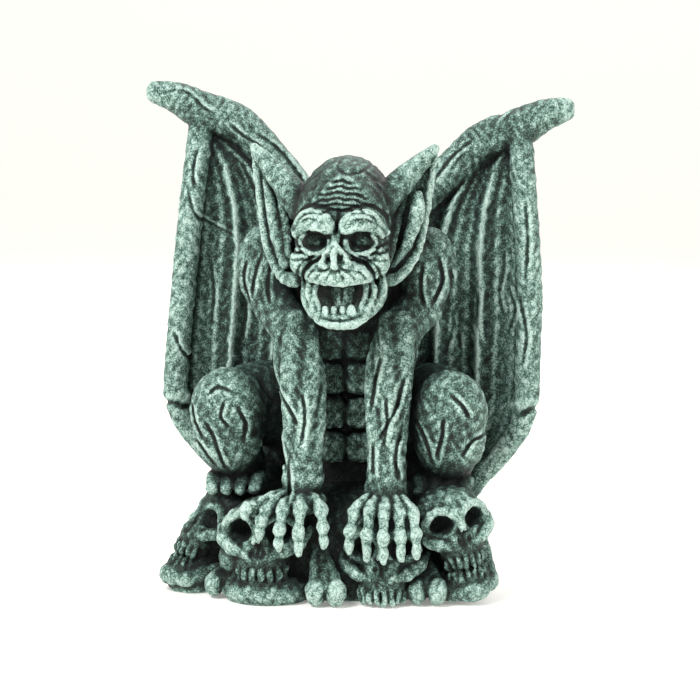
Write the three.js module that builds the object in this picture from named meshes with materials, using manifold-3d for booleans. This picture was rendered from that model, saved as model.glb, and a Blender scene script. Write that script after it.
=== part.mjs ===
// A cast-stone gargoyle: a winged, big-eared figure that crouches with both hands on a mound of
// skulls and bones. The whole work is one casting, so it is one solid.
// Units are millimetres, +Z is up and the figure faces -Y. The origin is on the flat underside.
import * as THREE from "three";
import { mergeVertices } from "three/addons/utils/BufferGeometryUtils.js";
import Module from "manifold-3d";

// ---- Driving dimensions ----
const MOUND = { height: 62, halfWidth: 83, halfDepth: 62, x: -2, y: -2 };
const WRIST = { halfSpan: 24.5, x: 3.5, y: -61, z: 66 };
const FINGER_RADIUS = 4.1;
const TOE_COUNT = 3;
const TOOTH_COUNT = 3;
const SLIVER = 0.7; // facets flatter than this are merged into their neighbours
const WING_TOP = 272;
const WING_FOOT = 52;
const WING_THICKNESS = 7;
const FINGER_BEAD = 7.5; // radius of the wing's outer finger
const WING_RIBS = [0.33, 0.6]; // share of the way from the outer finger to the back
const RIB_HEIGHT = 5;
const WING_SKEW = 5; // the left wing tip is this much higher than the middle, the right one lower
const HEAD_X = 1.5;
const EAR_X = -1;
const JAW_X = 3.5;
const SIDES = [-1, 1];
const UP = new THREE.Vector3(0, 0, 1);

const wasm = await Module();
wasm.setup();

// ---- Solids and joins ----

// A three.js geometry as a manifold-3d solid, with its shared vertices merged.
function solidOf(geometry) {
  const bare = geometry.index ? geometry.toNonIndexed() : geometry.clone();
  bare.deleteAttribute("normal");
  bare.deleteAttribute("uv");
  const merged = mergeVertices(bare, 1e-4);
  return new wasm.Manifold(
    new wasm.Mesh({
      numProp: 3,
      vertProperties: new Float32Array(merged.attributes.position.array),
      triVerts: new Uint32Array(merged.index.array),
    }),
  );
}

// A manifold-3d solid as a three.js geometry.
function geometryOf(solid) {
  const mesh = solid.getMesh();
  return new THREE.BufferGeometry()
    .setAttribute("position", new THREE.BufferAttribute(mesh.vertProperties, 3))
    .setIndex(new THREE.BufferAttribute(mesh.triVerts, 1));
}

// Joins a list of geometries, then cuts another list away.
function carve(added, removed = []) {
  let solid = solidOf(added[0]);
  for (const geometry of added.slice(1)) solid = solid.add(solidOf(geometry));
  for (const geometry of removed) solid = solid.subtract(solidOf(geometry));
  return solid;
}

// ---- Shapes ----

// A closed skin over rings of points, with each end closed on the ring's own middle.
function skin(rings) {
  const count = rings[0].length;
  const points = rings.flat();
  const faces = [];
  for (let i = 0; i < rings.length - 1; i++) {
    for (let j = 0; j < count; j++) {
      const [a, b] = [i * count + j, i * count + ((j + 1) % count)];
      faces.push(a, b, b + count, a, b + count, a + count);
    }
  }
  const middle = (ring) => ring.reduce((sum, p) => sum.add(p), new THREE.Vector3()).divideScalar(count);
  const last = (rings.length - 1) * count;
  points.push(middle(rings[0]), middle(rings.at(-1)));
  for (let j = 0; j < count; j++) {
    const k = (j + 1) % count;
    faces.push(points.length - 2, k, j);
    faces.push(points.length - 1, last + j, last + k);
  }
  return new THREE.BufferGeometry().setFromPoints(points).setIndex(faces);
}

// A limb: an elliptical section carried along a smooth path, with blunt round ends.
// Each station is [x, y, z, radius] or [x, y, z, radius across, radius towards the flat direction].
function limb(stations, { sides = 8, steps = 6, flat = new THREE.Vector3(0, 1, 0) } = {}) {
  const path = new THREE.CatmullRomCurve3(stations.map(([x, y, z]) => new THREE.Vector3(x, y, z)));
  const size = new THREE.CatmullRomCurve3(stations.map(([, , , a, b = a]) => new THREE.Vector3(a, b, 0)));
  const ring = (t, shift, shrink) => {
    const centre = path.getPoint(t);
    const along = path.getTangent(t);
    const across = new THREE.Vector3().crossVectors(flat, along).normalize();
    const third = new THREE.Vector3().crossVectors(along, across);
    const { x: a, y: b } = size.getPoint(t);
    centre.addScaledVector(along, shift * Math.min(a, b));
    return Array.from({ length: sides }, (_, j) => {
      const turn = (2 * Math.PI * j) / sides;
      const point = centre.clone().addScaledVector(across, a * shrink * Math.cos(turn));
      return point.addScaledVector(third, b * shrink * Math.sin(turn));
    });
  };
  const rings = Array.from({ length: steps + 1 }, (_, i) => ring(i / steps, 0, 1));
  return skin([ring(0, -0.8, 0.55), ...rings, ring(1, 0.8, 0.55)]);
}

// An egg: a sphere stretched to three radii, turned by three angles, and put in place.
function egg([x, y, z], [a, b, c], { turn = [0, 0, 0], columns = 8, rows = 5 } = {}) {
  return new THREE.SphereGeometry(1, columns, rows)
    .rotateX(Math.PI / 2)
    .scale(a, b, c)
    .applyMatrix4(new THREE.Matrix4().makeRotationFromEuler(new THREE.Euler(...turn)))
    .translate(x, y, z);
}

// A head-like body: level rings from the top down, each [height, half width, front, depth], with a squarish section.
function loft(rings, { columns = 10, x = 0, square = 0.8 } = {}) {
  const bend = (value) => Math.sign(value) * Math.abs(value) ** square;
  return skin(
    rings.toReversed().map(([z, halfWidth, front, depth]) =>
      Array.from({ length: columns }, (_, j) => {
        const turn = (2 * Math.PI * (j + 0.5)) / columns;
        const y = front + (depth / 2) * (1 - bend(Math.cos(turn)));
        return new THREE.Vector3(x + halfWidth * bend(Math.sin(turn)), y, z);
      }),
    ),
  );
}

// ---- Skulls and bones ----

// A dental arch in a skull's own frame: a bar bent round the front of the mouth, notched between its teeth.
function teethRow(halfWidth, front, height) {
  const count = 2 * TOOTH_COUNT + 1;
  const stations = Array.from({ length: count }, (_, i) => {
    const turn = (i / (count - 1) - 0.5) * 2.1;
    const thick = i % 2 ? 0.14 : 0.07;
    return [halfWidth * Math.sin(turn), front + halfWidth * (1 - Math.cos(turn)), height, thick, 0.16];
  });
  return limb(stations, { sides: 3, steps: count - 1, flat: UP });
}

// A skull whose half width is size: its face is to -Y and its origin is between its eyes before it is turned.
// The muzzle is how far the upper teeth hang below the eyes, the snout how far they stand before them,
// and the cheek how low the cheekbones sit. A plain one has no teeth.
function skull({ at, size, yaw = 0, roll = 0, pitch = 0, muzzle = 1.15, snout = 0.1, cheek = 0.38, jaw = true, plain = false }) {
  const pair = (make) => SIDES.map(make);
  const upper = [
    [1.34, 0.45, 0.6, 1],
    [1.05, 0.8, 0.2, 1.8],
    [0.65, 0.98, 0, 2.2],
    [0.26, 0.92, -0.16, 2.2],
    [0, 0.78, -0.02, 2],
    [-cheek, 0.92, 0.04, 1.4],
    [-cheek - 0.3, 0.56, 0.1 - 0.3 * snout, 1.1],
    [-muzzle - 0.1, 0.5, -snout, 1],
  ];
  const lower = [
    [-muzzle - 0.25, 0.42, 0.12 - snout, 0.9],
    [-muzzle - 0.7, 0.6, 0.02 - snout, 1],
    [-muzzle - 0.9, 0.4, 0.08 - snout, 0.8],
  ];
  const added = [loft(jaw ? [...upper, ...lower] : upper, { columns: plain ? 6 : 8 })];
  if (!plain) {
    added.push(teethRow(0.46, -snout - 0.02, -muzzle));
    if (jaw) added.push(teethRow(0.42, 0.06 - snout, -muzzle - 0.4));
  }
  const sockets = pair((s) => egg([0.43 * s, -0.14, -0.03], [0.34, 0.52, 0.32], { columns: plain ? 5 : 6, rows: plain ? 3 : 4 }));
  const nose = new THREE.ConeGeometry(0.26, 0.5, 3).rotateX(Math.PI / 2).translate(0, -0.06 - 0.3 * snout, -0.5);
  const place = new THREE.Matrix4().compose(
    new THREE.Vector3(...at),
    new THREE.Quaternion().setFromEuler(new THREE.Euler(...[pitch, roll, yaw].map(THREE.MathUtils.degToRad), "ZYX")),
    new THREE.Vector3(size, size, size),
  );
  return geometryOf(carve(added, plain ? sockets : [...sockets, nose]).simplify(SLIVER / 20)).applyMatrix4(place);
}

// A long bone: a shaft with two knuckles at its near end.
function bone([x, y, z], [dx, dy, dz], radius) {
  const shaft = limb([[x, y, z, radius], [x + dx, y + dy, z + dz, radius]], { sides: 5, steps: 1 });
  const knuckle = (s) =>
    egg([x + 1.1 * s * radius, y - 1, z], [1.2 * radius, 1.2 * radius, 1.3 * radius], { columns: 5, rows: 4 });
  return [shaft, knuckle(-1), knuckle(1)];
}

function mound() {
  const { height, halfWidth, halfDepth, x, y } = MOUND;
  const profile = [[0, 0], [0.97, 0], [1, 0.3], [0.85, 0.8], [0, 1.04]];
  const core = new THREE.LatheGeometry(profile.map(([r, h]) => new THREE.Vector2(r, h)), 14)
    .rotateX(Math.PI / 2)
    .scale(halfWidth, halfDepth, height)
    .translate(x, y, 0);
  const skulls = [
    { at: [-84, -34, 42], size: 22, yaw: -60, pitch: -26, muzzle: 1, snout: 0.3 },
    { at: [-44.5, -72, 44], size: 27, yaw: -6, muzzle: 0.96, snout: 0.25, jaw: false },
    { at: [26, -74, 40], size: 25, muzzle: 1.46, snout: 0.15, cheek: 0.75, jaw: false },
    { at: [69, -64, 49.5], size: 23, yaw: 27, roll: -11, muzzle: 1.16 },
    { at: [-72, 46, 42], size: 21, yaw: -140, plain: true },
    { at: [-10, 60, 38], size: 24, yaw: 176, muzzle: 1.3, plain: true, jaw: false },
    { at: [50, 46, 42], size: 21, yaw: 150, plain: true },
    { at: [74, -6, 41], size: 19, yaw: 82, plain: true },
  ];
  const bones = [
    ...bone([-70, -60, 9], [16, 30, 14], 7),
    ...bone([-6, -76, 9], [-7, 24, 30], 7.5),
    ...bone([53, -68, 9], [-10, 26, 30], 7.5),
  ];
  const chins = [egg([-42, -58, 8], [27, 25, 13], { columns: 9, rows: 4 }), egg([-90, -36, 8], [17, 19, 15])];
  return [core, ...chins, ...skulls.map(skull), ...bones];
}

// ---- The figure ----

function torso() {
  const trunk = limb(
    [[0, 22, 58, 38, 30], [0, 18, 92, 31, 28], [0, 11, 125, 28, 27], [0, 5, 158, 37, 28], [0, 2, 190, 42, 28],
      [0, -6, 212, 26, 20]],
    { sides: 10, steps: 4 },
  );
  const neck = limb([[0, 0, 200, 24], [1, -38, 212, 22]], { steps: 1 });
  const belly = [84, 105, 126, 147].flatMap((z, row) =>
    SIDES.map((s) => egg([7.6 * s - 1, -12 - 2 * row, z], [8.4, 6, 10.5], { columns: 4, rows: 4 })),
  );
  return [trunk, neck, ...belly];
}

function arm(s) {
  const shoulder = egg([51 * s - 2, -7, 191], [15, 18, 25], { columns: 8, rows: 5 });
  const upper = limb([[38 * s - 2, 0, 198, 17], [46 * s, -16, 176, 14.5], [33 * s + 1, -34, 158, 13]], { sides: 7, steps: 3 });
  const { halfSpan, x, y, z } = WRIST;
  const lower = limb(
    [[32 * s + 1.5, -34, 160, 12], [27 * s + 2, -45, 136, 13.6], [halfSpan * s + 3, -54, 106, 12.6],
      [halfSpan * s + x, y + 2, z + 16, 11], [halfSpan * s + x, y, z + 2 - 3 * s, 12.2]],
    { sides: 7, steps: 5 },
  );
  return [shoulder, upper, lower];
}

// A hand laid over the mound's front edge: the fingers fan out from the wrist and hang down its face.
// The left one is spread wider, with its thumb held high.
function hand(s) {
  const { halfSpan, x, y, z } = WRIST;
  const middle = halfSpan * s + x;
  const spreads = s < 0 ? [-30, -21, -10, 1.5, 15] : [-18, -8, 1.5, 11, 19.5];
  const drops = s < 0 ? [14, 25, 31, 33, 29] : [32, 35, 36, 35, 34];
  const finger = (spread, i) => {
    const stations = [
      [middle + 0.3 * spread, y - 4, z - 4, FINGER_RADIUS],
      [middle + 0.85 * spread, y - 20 + 0.2 * Math.abs(spread), z - 8 - 0.1 * Math.abs(spread), FINGER_RADIUS * 1.3],
      [middle + spread, y - 29 + 0.35 * Math.abs(spread), z - 0.6 * drops[i], FINGER_RADIUS],
      [middle + 1.05 * spread, y - 30 + 0.3 * Math.abs(spread), z - drops[i], FINGER_RADIUS],
    ];
    return limb(stations, { sides: 4, steps: 3, flat: new THREE.Vector3(1, 0, 0) });
  };
  return [egg([middle, y, z - 5], [15, 16, 9], { columns: 7, rows: 4 }), ...spreads.map(finger)];
}

function leg(s) {
  const thigh = limb([[26 * s, 26, 90, 26], [48 * s - 1, 2, 108, 26], [65 * s - 3, -33, 110, 23]], {
    sides: 8,
    steps: 3,
  });
  const calf = limb([[66 * s - 3, -36, 98, 19], [64 * s - 3, -28, 82, 17], [61 * s - 3, -12, 70, 14]], { sides: 7, steps: 2 });
  const toes = Array.from({ length: TOE_COUNT }, (_, i) => {
    const x = 62 * s - 3 + (i - (TOE_COUNT - 1) / 2) * 10;
    return limb([[x, -24, 66, 6], [x, -40, 63, 5.4]], { sides: 4, steps: 1 });
  });
  return [thigh, calf, ...toes];
}

// ---- Wings ----

// Height, half span and depth of the outer finger, from the wrist down to the mound.
const OUTER_FINGER = [
  [272, 98.5, 38], [240, 101.5, 32], [205, 104.5, 26], [170, 107, 23], [137, 108, 20], [108, 108, 18],
  [92, 103.5, 18], [74, 89.5, 18], [60, 76, 18], [52, 70, 18],
];
// The same for the edge that follows the arm bone to the shoulder and then the back to the mound.
const INNER_EDGE = [
  [272, 92, 44], [250, 50, 46], [225, 26, 38], [200, 14, 28], [150, 12, 26], [100, 14, 34], [52, 20, 38],
];

// The wings lean a little: how far both stand to one side at a height.
const lean = (z) => 0.2 - 3.2 * Math.exp(-(((z - 112) / 45) ** 2));

// Half span and depth of an edge at a height, in straight steps between its points.
function edgeAt(edge, z) {
  const i = Math.max(1, edge.findIndex(([height]) => height <= z));
  const [[z0, x0, y0], [z1, x1, y1]] = [edge[i - 1], edge[i]];
  const t = (z0 - z) / (z0 - z1);
  return [x0 + t * (x1 - x0), y0 + t * (y1 - y0)];
}

// A wing's skin with its outer finger: it billows backwards between the ribs, which run from the wrist at
// constant shares of the span, and swells into a round finger at its outer edge.
function membrane(s) {
  const shares = [0.08, WING_RIBS[0] / 2, WING_RIBS[0], 0.46, WING_RIBS[1], 0.8, 1];
  const rows = 8;
  const rings = Array.from({ length: rows + 1 }, (_, i) => {
    const z = THREE.MathUtils.lerp(WING_TOP, WING_FOOT, i / rows);
    const [outerX, outerY] = edgeAt(OUTER_FINGER, z);
    const [innerX, innerY] = edgeAt(INNER_EDGE, z);
    const grown = Math.min(1, (3 * i) / rows);
    const point = (share, back) => {
      const valley = [1, ...WING_RIBS].includes(share) ? 0 : RIB_HEIGHT * grown;
      const x = outerX + share * (innerX - outerX);
      const y = outerY + share * (innerY - outerY) + 10 * Math.sin(Math.PI * share) * grown + valley;
      return new THREE.Vector3(s * x + lean(z), back ? y + WING_THICKNESS - 0.5 * valley : y, z);
    };
    const finger = [0.25, 0.75, 1.25, 1.75, 2.25].map((quarter) => {
      const turn = (quarter * Math.PI) / 2;
      const x = outerX + FINGER_BEAD * Math.sin(turn);
      return new THREE.Vector3(s * x + lean(z), outerY + FINGER_BEAD * Math.cos(turn), z);
    });
    const front = shares.map((share) => point(share, false));
    const rear = shares.map((share) => point(share, true));
    const loop = [...finger.slice(0, 4), ...front, ...rear.reverse()];
    return s < 0 ? loop.reverse() : loop;
  });
  return skin(rings);
}

function wing(s) {
  const armBone = [[18, 24, 200, 14], [38, 40, 232, 12], [54, 45, 249, 11], [76, 45, 270.5, 11.5],
    [97, 42, 278, 12], [114, 40, 286.5, 9.5], [125, 39, 289.5, 7.5]];
  const skew = (x) => -s * WING_SKEW * THREE.MathUtils.clamp((x - 40) / 20, 0, 1);
  const bone = limb(
    armBone.map(([x, y, z, r]) => [x * s, y, z + skew(x), r]),
    { sides: 6, steps: 8 },
  );
  const knuckle = egg([107.5 * s + lean(108), 18, 106], [8.5, 9, 9], { columns: 6, rows: 4 });
  return [membrane(s), bone, knuckle];
}

// ---- Head ----

// The head's sections from the crown to the throat: height, half width, front and depth.
const HEAD_RINGS = [
  [258, 7, -43, 14], [253, 16, -58, 44], [245, 23, -66, 60], [235, 27, -72, 70], [225, 29, -78, 74], [218, 29, -82, 75],
  [210, 28.5, -81, 70], [200, 29, -82, 60], [191, 27, -80, 54], [183, 22, -66, 40], [172, 16, -66, 36], [165, 9, -68, 26],
];

function ear(s) {
  const place = ([x, y, z, ...rest]) => [EAR_X + s * x, y, z, ...rest];
  const upper = limb([[22, -42, 232, 10], [39, -34, 249.5, 7.5], [53, -25, 262.5, 3.5]].map(place), { sides: 6, steps: 2 });
  const outer = limb(
    [[53, -23, 261, 3], [50.5, -22, 240, 3.5], [47, -25, 218, 4], [42, -32, 200, 4.5], [27, -48, 188, 5]].map(place),
    { sides: 4, steps: 5 },
  );
  const bowl = limb([[25, -40, 194, 7, 4], [34, -28, 212, 13, 4], [39, -24, 238, 10, 4], [51, -21, 256, 3, 3]].map(place), {
    sides: 5,
    steps: 3,
  });
  return [upper, outer, bowl];
}

function head() {
  const at = ([x, y, z], radii, options) => egg([HEAD_X + x, y, z], radii, options);
  const pair = (make) => SIDES.map(make);
  const halfJaw = [[23, -58, 187, 5.5, 7], [23, -66, 176, 6, 7], [13, -79, 168, 6, 6.5]];
  const mirrored = halfJaw.map(([x, ...rest]) => [-x, ...rest]);
  const jaw = [...mirrored, [0, -84, 166.5, 6, 6.5], ...halfJaw.reverse()].map(([x, ...rest]) => [x + JAW_X, ...rest]);
  const added = [
    loft(HEAD_RINGS, { x: HEAD_X - 0.5 }),
    ...pair((s) => at([13.5 * s, -76, 222], [14.5, 9, 6.5], { turn: [0, -0.22 * s, 0.25 * s], columns: 7, rows: 4 })),
    limb([[HEAD_X, -80, 213, 4], [HEAD_X, -88, 202, 7, 5.5]], { sides: 6, steps: 1 }),
    at([1, -80, 191], [17.5, 11, 6], { columns: 9, rows: 4 }),
    limb(jaw, { sides: 5, steps: 8, flat: UP }),
    at([1, -70, 181], [9, 8, 9], { columns: 6, rows: 4 }),
    ...[-9, -3.5, 2.5, 9].map((x) => at([x, -85, 172.5], [2.8, 2.8, 4], { columns: 5, rows: 3 })),
  ];
  const sockets = pair((s) => at([15 * s, -84, 211.5], [9, 11, 6.5], { columns: 7, rows: 4 }));
  return [geometryOf(carve(added, sockets).simplify(SLIVER)), ...SIDES.flatMap(ear)];
}

// ---- The casting ----

const figure = [
  ...mound(),
  ...torso(),
  ...SIDES.flatMap((s) => [...arm(s), ...hand(s), ...leg(s), ...wing(s)]),
  ...head(),
];
const underneath = new THREE.BoxGeometry(400, 400, 60).translate(0, 0, -30);
const casting = carve(figure, [underneath])
  .simplify(SLIVER)
  .decompose()
  .reduce((largest, body) => (body.volume() > largest.volume() ? body : largest));

const stone = new THREE.MeshStandardMaterial({ color: 0x4f6b5f, roughness: 0.75, metalness: 0 });
const gargoyle = new THREE.Mesh(geometryOf(casting), stone);
gargoyle.name = "gargoyle";

const group = new THREE.Group();
group.add(gargoyle);
export default group;
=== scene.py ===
"""A cast-stone gargoyle: a winged, big-eared figure that crouches with both hands on a mound of
skulls.

The whole work is one casting, so it is one skin. Its forms are held as a distance field on a level
grid of cells, negative in the stone and positive in the air, because limbs, muscles, skulls and
folds have to run into one another without seams. Every form is a formula worked out on whole arrays.
Lengths are in millimetres until the skin is made, and in metres from there on.
"""

import bpy
import numpy as np
import openvdb
from mathutils import Euler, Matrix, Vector


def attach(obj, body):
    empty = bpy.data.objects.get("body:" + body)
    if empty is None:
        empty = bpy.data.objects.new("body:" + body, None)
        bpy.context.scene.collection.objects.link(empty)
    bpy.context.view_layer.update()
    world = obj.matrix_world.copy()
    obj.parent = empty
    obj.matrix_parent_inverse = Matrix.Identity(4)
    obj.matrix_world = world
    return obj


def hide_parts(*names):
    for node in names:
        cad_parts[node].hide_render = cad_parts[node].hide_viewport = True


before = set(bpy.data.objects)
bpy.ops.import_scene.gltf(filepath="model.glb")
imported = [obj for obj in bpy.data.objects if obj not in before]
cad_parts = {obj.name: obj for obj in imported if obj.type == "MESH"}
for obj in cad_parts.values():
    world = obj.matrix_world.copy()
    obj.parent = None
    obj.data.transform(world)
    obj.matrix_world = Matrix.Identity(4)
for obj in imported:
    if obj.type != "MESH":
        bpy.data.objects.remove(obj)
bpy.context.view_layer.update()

# ---------------------------------------------------------------- camera, light and floor

AZIMUTH = np.radians(7.0)
ELEVATION = np.radians(7.0)
DISTANCE = 1.5
TARGET = Vector((0, -0.005, 0.1413))


def add_camera():
    """The camera stands a little to the right of the face and a little above it, and looks at the
    chest.
    """
    data = bpy.data.cameras.new("camera")
    data.sensor_width = 36
    data.lens = 128.1
    data.clip_end = 20
    camera = bpy.data.objects.new("camera", data)
    back = Vector(
        (np.sin(AZIMUTH) * np.cos(ELEVATION), -np.cos(AZIMUTH) * np.cos(ELEVATION), np.sin(ELEVATION))
    )
    camera.location = TARGET + back * DISTANCE
    camera.rotation_euler = (-back).to_track_quat("-Z", "Y").to_euler()
    bpy.context.scene.collection.objects.link(camera)
    bpy.context.scene.camera = camera


def add_lamp(name, place, power, width, colour=(1, 1, 1)):
    """A soft square lamp that faces the middle of the figure."""
    data = bpy.data.lights.new(name, "AREA")
    data.energy = power
    data.size = width
    data.color = colour
    lamp = bpy.data.objects.new(name, data)
    lamp.location = place
    lamp.rotation_euler = (TARGET - Vector(place)).to_track_quat("-Z", "Y").to_euler()
    bpy.context.scene.collection.objects.link(lamp)


def add_floor():
    """A plain pale sheet under and behind the figure that curves up at the back."""
    run = np.linspace(0, 1, 40)
    turn = np.clip((run - 0.6) / 0.25, 0, 1) * np.pi / 2
    y = -3 + 6.2 * np.minimum(run, 0.6) / 0.6 * 0.85 + 0.9 * np.sin(turn)
    z = 0.9 * (1 - np.cos(turn)) + 3 * np.clip((run - 0.85) / 0.15, 0, 1)
    x = np.array([-5.0, 5.0])
    points = np.stack([np.repeat(x, 40), np.tile(y, 2), np.tile(z, 2)], 1)
    row = np.arange(39)
    faces = np.stack([row, row + 40, row + 41, row + 1], 1)
    mesh = bpy.data.meshes.new("floor")
    mesh.from_pydata(points.tolist(), [], faces.tolist())
    mesh.shade_smooth()
    material = bpy.data.materials.new("pale paper")
    material.use_nodes = True
    paper = material.node_tree.nodes["Principled BSDF"]
    paper.inputs["Base Color"].default_value = (0.93, 0.91, 0.875, 1)
    paper.inputs["Roughness"].default_value = 0.9
    paper.inputs["Emission Color"].default_value = (1, 0.985, 0.95, 1)
    paper.inputs["Emission Strength"].default_value = 0.22
    mesh.materials.append(material)
    floor = bpy.data.objects.new("floor", mesh)
    bpy.context.scene.collection.objects.link(floor)


def light_the_room():
    """Soft light from all round, with a broad lamp above and to the left of the face."""
    world = bpy.data.worlds.new("room")
    world.use_nodes = True
    world.node_tree.nodes["Background"].inputs["Color"].default_value = (1, 0.985, 0.96, 1)
    world.node_tree.nodes["Background"].inputs["Strength"].default_value = 0.6
    bpy.context.scene.world = world
    add_lamp("key", (-0.8, -1.2, 1.5), 36, 0.7)
    add_lamp("fill", (1.3, -0.9, 0.7), 9, 1.0)
    add_lamp("rim", (0.2, 1.2, 1.3), 16, 1.0)
    bpy.context.scene.view_settings.view_transform = "Standard"


add_camera()
light_the_room()
add_floor()

# ---------------------------------------------------------------- clay: a distance field on a grid

CELL = 0.8
FAR = np.float32(30)
SIDES = (-1, 1)
TRIANGLE_LIMIT = 190000
SNAP_TO_FLOOR = 0.12
CASE_LOW = (-131.7, -94.5, -1.0)
CASE_HIGH = (131.7, 61.7, 301.6)


def melt(a, b, reach):
    """Joins two fields; where they are closer than the reach, the corner between them is filled in a
    round.
    """
    h = np.clip(0.5 + 0.5 * (b - a) / reach, 0, 1)
    return b + (a - b) * h - reach * h * (1 - h)


def smooth_path(stations, count):
    """A centripetal Catmull-Rom curve through the stations, every column alike: count rows along it."""
    p = np.asarray(stations, np.float64)
    gap = np.maximum(np.linalg.norm(np.diff(p[:, :3], axis=0), axis=1), 1e-6) ** 0.5
    t = np.concatenate([[0], np.cumsum(gap)])
    slope = np.diff(p, axis=0) / gap[:, None]
    mid = (slope[:-1] * gap[1:, None] + slope[1:] * gap[:-1, None]) / (gap[1:] + gap[:-1])[:, None]
    tangent = np.concatenate([slope[:1], mid, slope[-1:]])
    u = np.linspace(0, t[-1], count)
    i = np.clip(np.searchsorted(t, u, "right") - 1, 0, len(p) - 2)
    s = ((u - t[i]) / gap[i])[:, None]
    g = gap[i][:, None]
    keep = (2 * s**3 - 3 * s**2 + 1) * p[i] + (3 * s**2 - 2 * s**3) * p[i + 1]
    return keep + (s**3 - 2 * s**2 + s) * g * tangent[i] + (s**3 - s**2) * g * tangent[i + 1]


def turned(angles):
    """The rotation for three angles in degrees, about X, then Y, then Z."""
    return np.array(Euler(np.radians(angles), "XYZ").to_matrix(), np.float32)


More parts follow.
